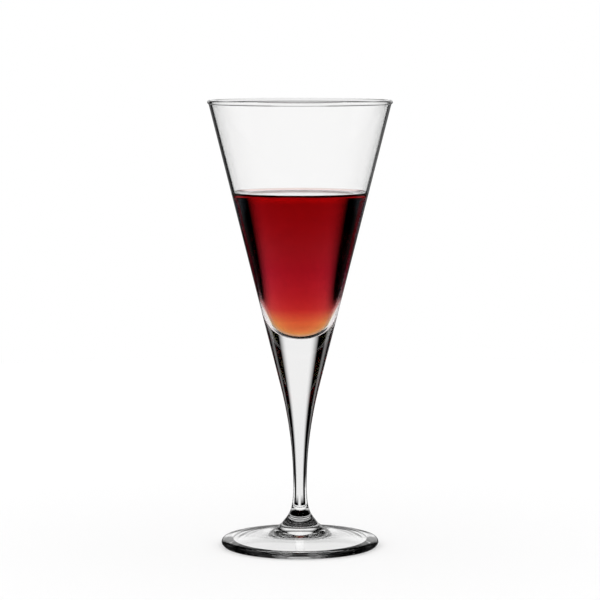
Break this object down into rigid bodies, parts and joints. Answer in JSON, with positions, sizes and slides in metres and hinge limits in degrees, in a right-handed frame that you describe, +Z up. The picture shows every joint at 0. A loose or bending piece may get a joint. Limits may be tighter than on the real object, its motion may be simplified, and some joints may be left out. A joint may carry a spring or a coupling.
{
  "type": "sherry glass",
  "caption": "Stemmed sherry glass with a straight conical bowl, a waisted solid stem and a round foot, part filled with a ruby red drink.",
  "frame": {"origin": "centre of the foot's flat rest ring, on the table", "axes": "+Z up along the axis that the glass is turned about; X and Y are free"},
  "size_m": [0.07, 0.07, 0.17],
  "materials": {
    "clear_glass": "clear, fire polished",
    "sherry": "clear ruby liquid"
  },
  "bodies": {
    "root": {"bowl": "clear_glass", "stem": "clear_glass", "foot": "clear_glass", "sherry": "sherry"}
  },
  "joints": []
}
